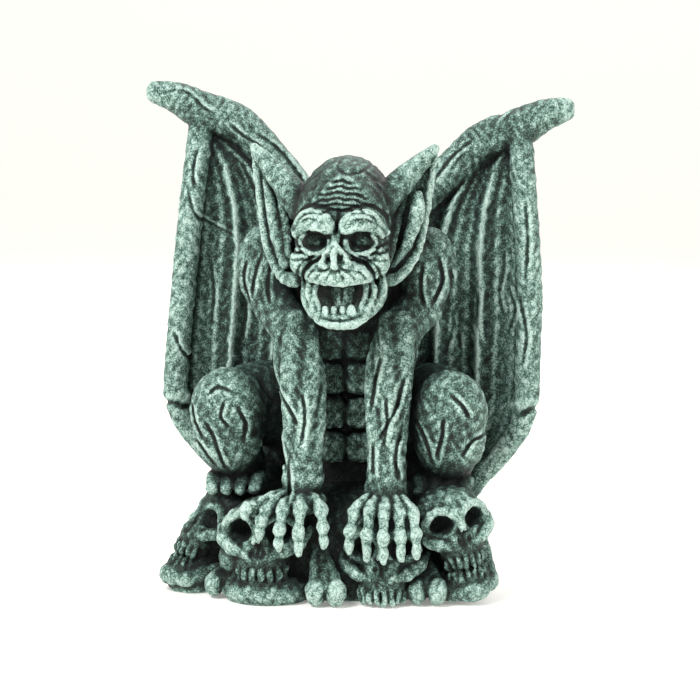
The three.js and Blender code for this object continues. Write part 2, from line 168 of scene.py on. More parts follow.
class Clay:
    """A body as its distance field. low is the first cell's middle, and size counts the cells."""

    def __init__(self, low, size, cell):
        self.low = np.asarray(low, np.float32)
        self.size = np.asarray(size, int)
        self.cell = cell
        self.field = np.full(self.size, FAR, np.float32)
        self.slices = None

    def window(self, low, high):
        """The slices of the cells in a box, and their places along X, Y and Z, ready to broadcast."""
        first = np.clip(
            np.floor((np.asarray(low) - self.low) / self.cell).astype(int), 0, self.size - 1,
        )
        last = np.clip(
            np.ceil((np.asarray(high) - self.low) / self.cell).astype(int) + 1, first + 1, self.size,
        )
        slices = tuple(slice(a, b) for a, b in zip(first, last))
        rows = [
            self.low[i] + self.cell * np.arange(first[i], last[i], dtype=np.float32) for i in range(3)
        ]
        return slices, rows[0][:, None, None], rows[1][None, :, None], rows[2][None, None, :]

    def part(self, low, high):
        """An empty piece of clay on the same cells, over a box."""
        slices, x, y, z = self.window(low, high)
        piece = Clay(
            (x[0, 0, 0], y[0, 0, 0], z[0, 0, 0]), [s.stop - s.start for s in slices], self.cell,
        )
        piece.slices = slices
        return piece

    def axes(self):
        """The places of all its cells along X, Y and Z, ready to broadcast."""
        return self.window(self.low, self.low + self.cell * self.size)[1:]

    def blank(self):
        """An empty piece of clay over all its cells."""
        return self.part(self.low, self.low + self.cell * self.size)

    def melt_rod(self, stations, count, reach):
        """Makes a round rod on its own and melts it in."""
        self.join(self.blank().tube(stations, count), reach)

    def join(self, piece, reach=0.0):
        """Adds a piece made by part()."""
        mine = self.field[piece.slices]
        mixed = melt(mine, piece.field, reach) if reach else np.minimum(mine, piece.field)
        self.field[piece.slices] = mixed

    def cut(self, piece, reach=0.5):
        """Takes a piece made by part() away."""
        mine = self.field[piece.slices]
        self.field[piece.slices] = -melt(-mine, piece.field, reach)

    def tube(self, stations, count=12):
        """A round rod along a smooth path, each station [x, y, z, radius].

        Between two points a and b the distance is |p - a - h(b - a)| less the radius there, with h
        the share of the way along, held between 0 and 1.
        """
        rows = smooth_path(stations, count).astype(np.float32)
        for a, b in zip(rows[:-1], rows[1:]):
            margin = max(a[3], b[3]) + 6
            at, x, y, z = self.window(np.minimum(a, b)[:3] - margin, np.maximum(a, b)[:3] + margin)
            along = b[:3] - a[:3]
            length = max(float(along @ along), 1e-6)
            dot = (x - a[0]) * along[0] + (y - a[1]) * along[1] + (z - a[2]) * along[2]
            h = np.clip(dot / length, 0, 1)
            square = (x - a[0]) ** 2 + (y - a[1]) ** 2 + (z - a[2]) ** 2 - 2 * h * dot + h * h * length
            rod = np.sqrt(np.maximum(square, 0)) - (a[3] + (b[3] - a[3]) * h)
            self.field[at] = np.minimum(self.field[at], rod)
        return self

    def egg(self, centre, radii, turn=(0, 0, 0), power=2.0, reach=0.0):
        """An egg, or with a higher power a rounded block: n = (|x/a|^p + |y/b|^p + |z/c|^p)^(1/p).

        The distance is n(n - 1) over the length of the gradient's stand-in |p / r^2| for a plain
        egg, and (n - 1) times the smallest radius for a block.
        """
        centre = np.asarray(centre, np.float32)
        radii = np.asarray(radii, np.float32)
        margin = float(radii.max()) * 1.05 + 5
        at, x, y, z = self.window(centre - margin, centre + margin)
        x, y, z = x - centre[0], y - centre[1], z - centre[2]
        if any(turn):
            m = turned(turn)
            x, y, z = (m[0, i] * x + m[1, i] * y + m[2, i] * z for i in range(3))
        x, y, z = x / radii[0], y / radii[1], z / radii[2]
        if power == 2.0:
            n = np.sqrt(x * x + y * y + z * z)
            steep = np.sqrt((x / radii[0]) ** 2 + (y / radii[1]) ** 2 + (z / radii[2]) ** 2)
            body = n * (n - 1) / np.maximum(steep, 1e-4)
        else:
            n = (np.abs(x) ** power + np.abs(y) ** power + np.abs(z) ** power) ** (1 / power)
            body = (n - 1) * radii.min()
        mine = self.field[at]
        self.field[at] = melt(mine, body, reach) if reach else np.minimum(mine, body)
        return self

    def score(self, points, width, depth, y_range, count=0):
        """Scores a line seen from the front, given as [x, z] points, into every surface in a range
        of depths.

        The field rises by depth * exp(-(d / width)^2), with d the distance from the line in the XZ
        plane, and fades out at the line's ends. A negative depth raises a vein or a ridge.
        """
        flat = [[x, 0, z] for x, z in points]
        rows = smooth_path(flat, count or 4 * len(points))[:, [0, 2]].astype(np.float32)
        margin = 2.5 * width
        low, high = rows.min(0) - margin, rows.max(0) + margin
        at, x, _, z = self.window((low[0], y_range[0], low[1]), (high[0], y_range[1], high[1]))
        x, z = x[:, 0, :], z[0, :, :]
        best = np.full((x.shape[0], z.shape[1]), 1e6, np.float32)
        share = np.zeros_like(best)
        for i, (a, b) in enumerate(zip(rows[:-1], rows[1:])):
            along = b - a
            h = np.clip(
                ((x - a[0]) * along[0] + (z - a[1]) * along[1]) / max(float(along @ along), 1e-6), 0, 1,
            )
            d = (x - a[0] - h * along[0]) ** 2 + (z - a[1] - h * along[1]) ** 2
            closer = d < best
            best = np.where(closer, d, best)
            share = np.where(closer, (i + h) / (len(rows) - 1), share)
        fade = np.clip(4 * np.minimum(share, 1 - share) + 0.35, 0, 1)
        self.field[at] += (depth * fade * np.exp(-best / width**2))[:, None, :]


def whole_clay():
    """The empty grid for the whole casting; a layer of cells lies exactly on the floor."""
    low = np.array([-138, -104, -6 * CELL], np.float32)
    high = np.array([138, 72, 308], np.float32)
    return Clay(low, np.ceil((high - low) / CELL).astype(int) + 1, CELL)


# ---------------------------------------------------------------- skulls and bones


def in_skull(piece, at, size, turn):
    """The cells' places in a skull's own frame: its face to -Y, its origin between its eyes, half
    its width 1.
    """
    x, y, z = piece.axes()
    x, y, z = x - at[0], y - at[1], z - at[2]
    m = turned(turn) / size
    return [m[0, i] * x + m[1, i] * y + m[2, i] * z for i in range(3)]


def ball(p, centre, radii):
    """An egg's distance in a skull's own frame: n(n - 1) over |p / r^2|."""
    q = [(p[i] - centre[i]) / radii[i] for i in range(3)]
    n = np.sqrt(q[0] ** 2 + q[1] ** 2 + q[2] ** 2)
    steep = np.sqrt(sum((q[i] / radii[i]) ** 2 for i in range(3)))
    return n * (n - 1) / np.maximum(steep, 1e-3)


def rod(p, stations):
    """A straight-jointed rod's distance in a skull's own frame, each station [x, y, z, radius]."""
    best = None
    for a, b in zip(stations[:-1], stations[1:]):
        along = [b[i] - a[i] for i in range(3)]
        length = sum(v * v for v in along)
        off = [p[i] - a[i] for i in range(3)]
        h = np.clip(sum(o * v for o, v in zip(off, along)) / length, 0, 1)
        d = np.sqrt(sum((o - h * v) ** 2 for o, v in zip(off, along))) - (a[3] + (b[3] - a[3]) * h)
        best = d if best is None else np.minimum(best, d)
    return best


def teeth(p, field, half_width, front, height, count, tall):
    """A row of blocky teeth round an arch: x = w sin t, y = front + w(1 - cos t), each turned by its
    own t.

    A tooth is a rounded block, n = (x^3 + y^3 + z^3)^(1/3), melted so little that the gaps stay
    open.
    """
    step = 2.5 / count
    for t in (np.arange(count) - (count - 1) / 2) * step:
        x, y = p[0] - half_width * np.sin(t), p[1] - front - half_width * (1 - np.cos(t))
        radii = (0.46 * step * half_width, 0.14, tall)
        q = [
            (x * np.cos(t) + y * np.sin(t)) / radii[0], (y * np.cos(t) - x * np.sin(t)) / radii[1],
            (p[2] - height) / radii[2],
        ]
        n = (np.abs(q[0]) ** 3 + np.abs(q[1]) ** 3 + np.abs(q[2]) ** 3) ** (1 / 3)
        field = melt(field, (n - 1) * min(radii), 0.02)
    return field


def add_skull(
    clay, at, size, turn=(0, 0, 0), muzzle=1.05, snout=0.1, cheek=0.4, dome=1.3, bite=0.5, jaw=True,
    grin=8,
):
    """A skull whose half width is size, melted into the mound.

    The muzzle is how far the upper teeth hang below the eyes, the snout how far they stand before
    them, the cheek how low the cheekbones sit, the dome how high the crown rises and the bite half
    the width of the teeth.
    """
    low, high = (-1.15, -0.5 - snout, -muzzle - (1.15 if jaw else 0.3)), (1.15, 2.0, dome + 0.05)
    corners = np.array(np.meshgrid(*zip(low, high))).reshape(3, -1)
    box = turned(turn) @ corners * size + np.array(at)[:, None]
    piece = clay.part(box.min(1), box.max(1))
    p = in_skull(piece, at, size, turn)
    side = [np.abs(p[0]), p[1], p[2]]
    f = ball(p, (0, 1.0, dome - 0.8), (0.96, 1.1, 0.8))
    f = melt(f, ball(p, (0, 0.5, min(0.5, dome - 0.5)), (0.74, 0.6, 0.5)), 0.2)
    f = melt(f, ball(p, (0, 0.62, -0.5 * muzzle), (0.56, 0.6, 0.72 * muzzle)), 0.15)
    f = melt(f, ball(side, (0.22, 0.3 - 0.6 * snout, -0.62 * muzzle), (0.34, 0.42, 0.5 * muzzle)), 0.12)
    turns = np.linspace(0, 2 * np.pi, 13)
    ring = [
        [
            0.44 + 0.37 * np.cos(t), 0.16 * (1 + np.cos(t)) - 0.1,
            -0.02 + 0.33 * np.sin(t) - 0.05 * np.cos(t), 0.12 + 0.03 * np.sin(t),
        ] for t in turns
    ]
    f = melt(f, rod(side, ring), 0.07)
    z = -cheek
    arc = [
        [0.3, -0.12 - 0.3 * snout, z - 0.22, 0.1], [0.6, -0.06, z - 0.12, 0.16],
        [0.86, 0.14, z + 0.04, 0.15], [0.97, 0.5, z + 0.22, 0.11], [0.97, 1.0, z + 0.26, 0.1],
    ]
    f = melt(f, rod(side, arc), 0.05)
    f = melt(f, rod(p, [[0, -0.06, 0.2, 0.13], [0, -0.22 - 0.4 * snout, -0.2, 0.09]]), 0.08)
    gum = 0.06 - snout
    t = np.linspace(-1.25, 1.25, 7)
    f = melt(
        f, rod(p, [[bite * np.sin(a), gum + bite * (1 - np.cos(a)), 0.26 - muzzle, 0.14] for a in t]),
        0.1,
    )
    for t in np.linspace(-1.05, 1.05, 7):
        x, y = (bite + 0.06) * np.sin(t), gum - 0.06 + bite * (1 - np.cos(t))
        top = -0.34 if abs(x) > 0.24 else -0.62
        root = rod(
            p,
            [
                [x, y, 0.2 - muzzle, 0.085], [0.9 * x, y + 0.04, 0.5 * (top - muzzle) + 0.1, 0.05],
                [0.82 * x, y + 0.07 + 0.3 * snout, top, 0.04],
            ],
        )
        f = melt(f, root, 0.04)
    f = -melt(-f, ball(side, (0.44, -0.12, -0.03), (0.3, 0.62, 0.26)), 0.05)
    f = -melt(-f, ball(side, (0.12, -0.26 - snout, -0.46), (0.12, 0.34, 0.17)), 0.03)
    f = -melt(-f, ball(p, (0, -0.26 - snout, -0.34), (0.08, 0.32, 0.16)), 0.03)
    f = -melt(-f, ball(side, (0.82, 0.2, z - 0.5), (0.26, 0.5, 0.26)), 0.1)
    f = teeth(p, f, bite, -snout, -muzzle, grin, 0.2)
    if jaw:
        drop = -muzzle - 0.8
        half = [
            [0.84, 1.0, -0.5, 0.14], [0.8, 0.8, -1.1, 0.19], [0.56, 0.26 - snout, drop + 0.02, 0.22],
        ]
        f = melt(f, rod(side, [*half, [0, -0.02 - snout, drop, 0.24]]), 0.08)
        f = melt(f, ball(p, (0, 0.02 - snout, drop - 0.02), (0.46, 0.22, 0.28)), 0.1)
        t = np.linspace(-1.25, 1.25, 7)
        f = melt(
            f, rod(p, [[bite * np.sin(a), gum + bite * (1 - np.cos(a)), drop + 0.22, 0.15] for a in t]),
            0.08,
        )
        f = melt(f, ball(p, (0, 0.62, -muzzle - 0.25), (0.44, 0.45, 0.66)), 0.1)
        for t in np.linspace(-0.9, 0.9, 5):
            x, y = (bite + 0.04) * np.sin(t), gum - 0.09 + bite * (1 - np.cos(t))
            f = melt(f, rod(p, [[x, y, drop + 0.3, 0.08], [0.9 * x, y, drop, 0.05]]), 0.04)
        f = teeth(p, f, bite - 0.02, 0.02 - snout, drop + 0.4, grin, 0.18)
    piece.field = np.minimum(f * size, FAR).astype(np.float32)
    clay.join(piece, 1.2)


def add_bone(clay, start, run, radius):
    """A long bone: a ridged shaft that flares into two knuckles at its near end."""
    start, run = np.array(start, float), np.array(run, float)
    end = start + run
    piece = clay.part(np.minimum(start, end) - 3 * radius, np.maximum(start, end) + 3 * radius)
    across = np.array([0.9 * radius, 0, 0])
    for s in (-1, 0, 1):
        foot, top = start + s * across + (0, 0, 2), end + 0.45 * s * across
        piece.melt_rod(
            [[*foot, 0.72 * radius], [*((foot + 2 * top) / 3), 0.42 * radius], [*top, 0.5 * radius]], 8,
            1,
        )
    for s in SIDES:
        knuckle = start + s * across
        piece.egg(
            (knuckle[0], knuckle[1] - 1, knuckle[2] - 0.5), np.array([0.95, 1.15, 1.25]) * radius,
            reach=1,
        )
    clay.join(piece, 1)


def add_mound(clay):
    """The heap: a squat rounded core, with skulls and bones pressed into it all round."""
    piece = clay.part((-112, -100, -8), (100, 72, 76))
    x, y, z = piece.axes()
    ring = np.sqrt(((x + 2) / 82) ** 2 + ((y + 2) / 62) ** 2)
    piece.field = (((ring**3 + (np.maximum(z, 0) / 62) ** 3) ** (1 / 3) - 1) * 55).astype(np.float32)
    piece.egg((-42, -60, 6), (27, 25, 11), reach=3)
    piece.egg((-90, -36, 8), (17.5, 19, 16), reach=3)
    piece.egg((-62, -60, 24), (9, 12, 10), reach=3)
    clay.join(piece)
    add_skull(clay, (-84, -35, 44), 22, (-24, 0, -58), muzzle=1.0, snout=0.34, dome=1.0)
    add_skull(
        clay, (-45, -71, 43), 27, (0, 0, -6), muzzle=0.96, snout=0.22, cheek=0.3, dome=0.6, bite=0.56,
        jaw=False,
    )
    add_skull(
        clay, (27, -73, 35), 25, muzzle=1.14, snout=0.22, cheek=0.5, dome=0.78, bite=0.5, jaw=False,
    )
    add_skull(clay, (70, -63, 50), 23, (0, -12, 26), muzzle=1.02, snout=0.22, dome=0.72)
    add_skull(clay, (-72, 46, 42), 21, (0, 0, -140), dome=1.1, grin=6)
    add_skull(clay, (-10, 58, 38), 24, (0, 0, 176), muzzle=1.2, dome=1.0, jaw=False, grin=6)
    add_skull(clay, (50, 46, 42), 21, (0, 0, 150), dome=1.1, grin=6)
    add_skull(clay, (74, -6, 41), 19, (0, 0, 82), dome=1.1, grin=6)
    add_bone(clay, (-68, -62, 9), (12, 26, 18), 6)
    add_bone(clay, (-5, -78, 9), (-7, 22, 26), 6.5)
    add_bone(clay, (53, -68, 9.5), (-10, 26, 26), 6.5)


# ---------------------------------------------------------------- the figure

WRIST = (24.5, 3.5, -61, 66)
FINGERS = {
    -1: [(-30, 14), (-21, 25), (-10, 31), (1.5, 33), (15, 29)],
    1: [(-18, 32), (-8, 35), (1.5, 36), (11, 35), (19.5, 34)],
}


def add_torso(clay):
    """A narrow trunk, the neck, and a belly of blocks in two columns."""
    piece = clay.part((-60, -60, 40), (60, 70, 245))
    spine = [
        [0, 20, 62, 30], [0, 17, 92, 27], [0, 11, 125, 25], [0, 4, 158, 28], [0, 0, 190, 29],
        [0, -6, 212, 21],
    ]
    piece.tube(spine, 16)
    ribs = piece.blank()
    for s in SIDES:
        ribs.tube([[12 * s, 17, 70, 24], [14 * s, 8, 150, 22], [20 * s, 0, 188, 22]], 10)
    piece.join(ribs, 8)
    piece.melt_rod([[0, 0, 200, 23], [1, -38, 212, 21]], 3, 6)
    for row, z in enumerate((84, 105, 126, 147)):
        for s in SIDES:
            piece.egg((8 * s - 1, -13 - 2 * row, z), (8, 7, 9.6), power=3.2, reach=1.5)
    clay.join(piece, 3)


def add_arm(clay, s):
    """A shoulder cap, an upper arm and a forearm wound from strands of muscle down to a cuff at the
    wrist.
    """
    half, x, y, z = WRIST
    wrist = half * s + x
    piece = clay.part((-75 if s < 0 else 5, -85, 55), (-4 if s < 0 else 80, 35, 228))
    piece.egg((51 * s - 2, -7, 191), (15, 18, 25))
    piece.egg((46 * s - 2, -20, 186), (11, 11, 20), reach=3)
    piece.melt_rod(
        [[38 * s - 2, 0, 198, 16], [46 * s, -16, 176, 14], [33 * s + 1, -34, 158, 12.5]], 8, 4,
    )
    axis = np.array(
        [
            [32 * s + 1.5, -34, 162], [27 * s + 2, -45, 136], [half * s + 3, -54, 106],
            [wrist, y + 2, z + 16],
        ]
    )
    girth = np.array([7.5, 7.6, 6.4, 5.8])
    spread = np.array([6.2, 7.4, 6.6, 5.4])
    for k in range(5):
        turn = 2 * np.pi * k / 5 + s * np.array([0.0, 0.7, 1.3, 1.6])
        ring = np.stack([spread * np.cos(turn), spread * np.sin(turn), 0 * turn], 1)
        piece.melt_rod(np.column_stack([axis + ring, girth]), 10, 1.6)
    piece.melt_rod([[wrist, y + 2, z + 16, 11], [wrist, y, z + 3 - 3 * s, 12.4]], 3, 2)
    clay.join(piece, 3)


def add_hand(clay, s):
    """A hand laid over the mound's front: bony fingers fan out from the wrist and hang down the
    skulls.
    """
    half, x, y, z = WRIST
    wrist = half * s + x
    piece = clay.part((wrist - 45, -104, 18), (wrist + 35, -40, 84))
    piece.egg((wrist, y - 1, z - 7), (14, 17, 8))
    for spread, drop in FINGERS[s]:
        bow = abs(spread)
        finger = piece.part(
            (wrist + min(spread, 0) - 14, -104, 20), (wrist + max(spread, 0) + 14, -48, 78),
        )
        finger.tube(
            [
                [wrist + 0.3 * spread, y - 3, z - 1, 2.4],
                [wrist + 0.6 * spread, y - 12, z - 2.5, 2.3],
                [wrist + 0.87 * spread, y - 20 + 0.2 * bow, z - 7.5 - 0.1 * bow, 4.3],
                [wrist + 0.93 * spread, y - 24.5 + 0.25 * bow, z - 0.3 * drop - 3, 2.9],
                [wrist + 0.97 * spread, y - 26.5 + 0.3 * bow, z - 0.45 * drop - 2, 2.7],
                [wrist + spread, y - 28.5 + 0.33 * bow, z - 0.62 * drop, 3.9],
                [wrist + 1.02 * spread, y - 28.5 + 0.3 * bow, z - 0.76 * drop, 2.4],
                [wrist + 1.04 * spread, y - 29 + 0.3 * bow, z - 0.88 * drop, 2.9],
                [wrist + 1.05 * spread, y - 29 + 0.3 * bow, z - drop, 1.9],
            ],
            26,
        )
        piece.join(finger, 0.7)
    clay.join(piece, 1)


def add_leg(clay, s):
    """A thigh that swells to a great knee, a calf folded under it, and toes that grip the mound."""
    piece = clay.part(
        (-105, -75, 40) if s < 0 else (0, -75, 40), (0, 60, 145) if s < 0 else (100, 60, 145),
    )
    piece.tube([[26 * s, 26, 90, 26], [48 * s - 1, 2, 107, 26], [62 * s - 3, -26, 109, 23]], 10)
    piece.egg((66 * s - 3, -38, 109), (22.5, 20, 25), reach=3)
    piece.egg((66 * s - 3, -38, 92), (21, 18, 20), reach=3)
    piece.melt_rod(
        [[66 * s - 3, -36, 96, 18], [64 * s - 3, -28, 82, 17], [61 * s - 3, -12, 70, 14]], 6, 3,
    )
    for i in range(4):
        x = 62 * s - 3 + (i - 1.5) * 8.5
        piece.melt_rod([[x, -22, 66, 4.6], [x, -34, 66.5, 5.2], [x, -44, 62, 3.8]], 6, 1)
    clay.join(piece, 2)


# ---------------------------------------------------------------- wings

OUTER_FINGER = [
    [276, 98, 39], [272, 98.5, 38], [240, 101.5, 32], [205, 104.5, 26], [170, 107, 23], [137, 108, 20],
    [108, 108, 18], [92, 103.5, 18], [74, 89.5, 18], [60, 76, 18], [52, 70, 18], [40, 62, 18],
]
INNER_EDGE = [
    [276, 94, 44], [272, 92, 44], [250, 50, 46], [225, 26, 38], [200, 14, 28], [150, 12, 26],
    [100, 14, 34], [52, 20, 38], [40, 20, 38],
]
RIBS = (0.0, 0.33, 0.6, 1.0)


def lean(z):
    """How far both wings stand to one side at a height: a little to the left around the kink, else
    none.
    """
    return 0.2 - 3.2 * np.exp(-(((z - 112) / 45) ** 2))


def edge(table, z):
    """Half span and depth of a wing's edge at each height, in straight steps."""
    rows = np.array(table[::-1], np.float32)
    return np.interp(z, rows[:, 0], rows[:, 1]), np.interp(z, rows[:, 0], rows[:, 2])


def add_wing(clay, s):
    """A wing: a skin that billows back between ribs which fan out from the wrist, hung from the arm
    bone.
    """
    low = (-120, -2, 44) if s < 0 else (4, -2, 44)
    high = (-4, 70, 284) if s < 0 else (120, 70, 284)
    piece = clay.part(low, high)
    x, y, z = piece.axes()
    outer_x, outer_y = edge(OUTER_FINGER, z)
    inner_x, inner_y = edge(INNER_EDGE, z)
    span = np.maximum(outer_x - inner_x, 1)
    share = (outer_x - s * (x - lean(z))) / span
    grown = np.clip((272 - z) / 60, 0, 1)
    hollow = 10 * np.sin(np.pi * np.clip(share, 0, 1)) * grown
    middle = outer_y + share * (inner_y - outer_y) + hollow + 3.5
    ridge = np.zeros_like(share)
    valley = np.zeros_like(share)
    for a, b in zip(RIBS[:-1], RIBS[1:]):
        within = np.clip((share - a) / (b - a), 0, 1)
        valley = np.maximum(valley, np.sin(np.pi * within) ** 0.8)
        for r, h in ((a + 0.33 * (b - a), 1.0), (a + 0.66 * (b - a), 1.4)):
            ridge = np.maximum(ridge, h * np.exp(-(((share - r) * span / 2.2) ** 2)))
    for r in RIBS[1:3]:
        ridge = np.maximum(ridge, 3.4 * np.exp(-(((share - r) * span / 3.2) ** 2)))
    front = middle - 3.5 + 4.5 * valley * grown - ridge * np.clip(grown * 1.5, 0, 1)
    back = np.minimum(middle + 3.5 + 1.5 * valley * grown, 60.5)
    field = np.maximum(front - y, y - back)
    field = np.maximum(field, (-0.02 - share) * span * 0.9)
    field = np.maximum(field, (share - 1.05) * span * 0.9)
    piece.field = np.minimum(
        np.maximum(field * 0.92, np.maximum(z - 276, 50 - z)), FAR,
    ).astype(np.float32)
    clay.join(piece, 2)
    finger = clay.part(np.array(low) - (6, 6, 6), np.array(high) + (6, 0, 4))
    stations = [[s * x + lean(z), y, z, 7.6 if z > 100 else 6.6] for z, x, y in OUTER_FINGER[1:-1]]
    finger.tube(stations, 30)
    finger.egg((107.5 * s + lean(108), 18, 107), (8.6, 9, 8), reach=2)
    clay.join(finger, 1.5)
    bone = clay.part(
        (-138, -4, 180) if s < 0 else (4, -4, 180), (-4, 66, 308) if s < 0 else (138, 66, 308),
    )
    arm = [
        [18, 24, 200, 14], [38, 40, 232, 12], [54, 45, 249, 11], [76, 45, 270.5, 11.5],
        [97, 42, 278, 12], [114, 40, 286.5, 9.5], [125, 39, 289.5, 7.5],
    ]
    bone.tube([[x * s, y, z - 5 * s * np.clip((x - 40) / 20, 0, 1), r] for x, y, z, r in arm], 26)
    clay.join(bone, 2)


# ---------------------------------------------------------------- head

FACE_X = 1.9
EAR_X = -1
HEAD_RINGS = [
    [247, 14, -62, 52], [240, 24, -70, 64], [233, 27, -74, 70], [225, 28, -76, 72], [218, 28, -78, 72],
    [210, 27.5, -77, 68], [200, 27, -78, 58], [191, 24.5, -75, 50], [183, 20, -64, 38],
    [172, 15, -62, 32], [165, 8, -62, 22],
]


def add_ear(head, s):
    """An ear: a thick upper roll that tapers to a point, a thin rim down to the jaw and a cupped
    sheet between.
    """
    at = lambda rows: [[EAR_X + s * x, y, z, r] for x, y, z, r in rows]
    low = (-70, -70, 170) if s < 0 else (8, -70, 170)
    high = (-8, 0, 276) if s < 0 else (70, 0, 276)
    ear = head.part(low, high)

    def lay(reach, rows, count=12):
        """Lays a rod on, each row [x from the head's middle, y, z, radius]."""
        ear.melt_rod(at(rows), count, reach)

    lay(5, [[25, -36, 194, 4], [34, -26, 212, 5], [40, -23, 236, 4], [50, -21, 256, 2]])
    lay(3, [[27, -40, 194, 5], [35, -34, 200, 5], [41, -28, 212, 4]])
    lay(5, [[22, -34, 200, 4], [28, -25, 220, 5], [34, -24, 240, 4], [48, -21, 256, 2]])
    lay(4, [[29, -40, 192, 3], [40, -30, 206, 3], [46, -26, 224, 2.6], [50, -23, 250, 1.8]])
    lay(
        1.2,
        [[22, -44, 230, 9.5], [31, -39, 240.5, 8.4], [42, -32, 252, 6.4], [53.5, -25.5, 263.5, 2.8]],
    )
    lay(
        0.8,
        [
            [53.5, -25, 262, 2.2], [51.5, -26, 244, 2], [48.5, -29, 222, 2.2], [43.5, -35, 202, 2.6],
            [34, -46, 189.5, 3.4], [25, -56, 188, 4.5],
        ],
        18,
    )
    if s > 0:
        lay(
            1.5,
            [
                [44, -33, 236, 3.4], [44.5, -36, 229, 4.6], [42, -37, 218, 4], [38, -40, 207, 3],
                [31, -45, 197, 2.2],
            ],
            14,
        )
        lay(1, [[38, -30, 244, 2], [34, -34, 228, 2.6], [31, -42, 212, 2.6], [29, -48, 200, 2.4]])
    else:
        lay(2, [[46, -30, 244, 1.8], [42, -33, 228, 3.4], [38, -38, 212, 3.8], [32, -46, 196, 3]], 14)
        lay(1, [[38, -32, 236, 1.4], [33, -38, 218, 2.4], [30, -46, 202, 2.2]])
    head.join(ear, 1.5)


